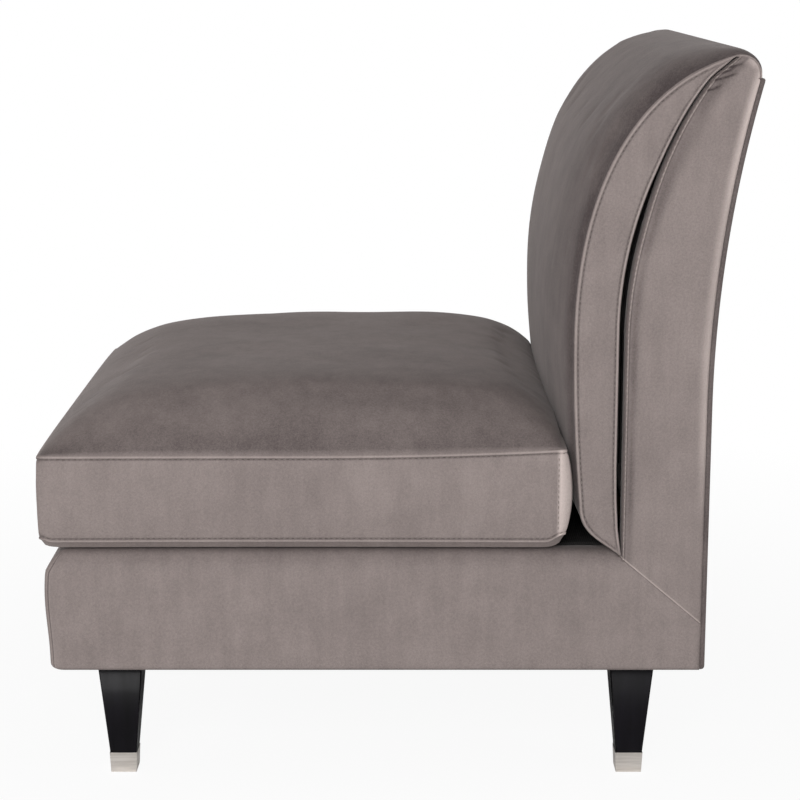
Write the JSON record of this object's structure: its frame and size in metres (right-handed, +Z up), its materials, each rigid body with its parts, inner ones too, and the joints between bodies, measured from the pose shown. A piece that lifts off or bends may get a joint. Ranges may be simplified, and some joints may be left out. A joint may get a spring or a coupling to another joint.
{
  "type": "slipper chair",
  "caption": "Armless upholstered slipper chair with a curved padded back, a loose box seat cushion and tapered square legs with metal ferrules.",
  "frame": {"origin": "centre of the chair's bounding box, on the floor", "axes": "+Z up, +X towards the sitter's left, +Y towards the back; the chair faces -Y"},
  "size_m": [0.69, 0.8182, 0.8579],
  "materials": {
    "velvet": "matte",
    "lining": "matte",
    "foam": "matte",
    "fibre": "matte",
    "webbing": "matte",
    "timber": "matte",
    "lacquer": "satin",
    "nickel": "satin",
    "steel": "satin"
  },
  "bodies": {
    "frame": {"leg_front_left": "lacquer", "ferrule_front_left": "nickel", "hanger_bolt_front_left": "steel", "tee_nut_front_left": "steel", "corner_block_front_left": "timber", "leg_front_right": "lacquer", "ferrule_front_right": "nickel", "hanger_bolt_front_right": "steel", "tee_nut_front_right": "steel", "corner_block_front_right": "timber", "leg_rear_left": "lacquer", "ferrule_rear_left": "nickel", "hanger_bolt_rear_left": "steel", "tee_nut_rear_left": "steel", "corner_block_rear_left": "timber", "leg_rear_right": "lacquer", "ferrule_rear_right": "nickel", "hanger_bolt_rear_right": "steel", "tee_nut_rear_right": "steel", "corner_block_rear_right": "timber", "front_rail": "timber", "side_rail_left": "timber", "side_rail_right": "timber", "rear_seat_rail": "timber", "rear_base_rail": "timber", "back_post_left": "timber", "back_post_right": "timber", "back_lower_rail": "timber", "back_top_rail": "timber", "outside_back_board": "timber", "seat_spring_1": "steel", "webbing_strap_1": "webbing", "seat_spring_2": "steel", "webbing_strap_2": "webbing", "seat_spring_3": "steel", "webbing_strap_3": "webbing", "seat_spring_4": "steel", "webbing_strap_4": "webbing", "spring_tie_rod": "steel", "insulator_sheet": "webbing", "deck_foam": "foam", "base_padding": "foam", "top_padding": "foam", "back_foam": "foam", "back_pad_foam": "foam", "deck_cover": "lining", "dust_cover": "lining", "base_cover_front": "velvet", "base_cover_left": "velvet", "base_cover_right": "velvet", "side_panel_left": "velvet", "side_panel_right": "velvet", "outside_back_cover": "velvet", "top_cover": "velvet", "back_pad_cover": "velvet"},
    "seat_cushion": {"seat_cover": "velvet", "seat_fibre_wrap": "fibre", "seat_foam": "foam", "zip_tape": "lining"},
    "zip_slider": {"zip_slider": "nickel"}
  },
  "joints": [
    {"name": "seat_cushion_lift", "type": "slide", "parent": "frame", "child": "seat_cushion", "axis": [0, -0.3, 0.9539], "range_m": [0, 0.3]},
    {"name": "zip_slide", "type": "slide", "parent": "seat_cushion", "child": "zip_slider", "axis": [1, 0, 0], "range_m": [0, 0.472]}
  ]
}
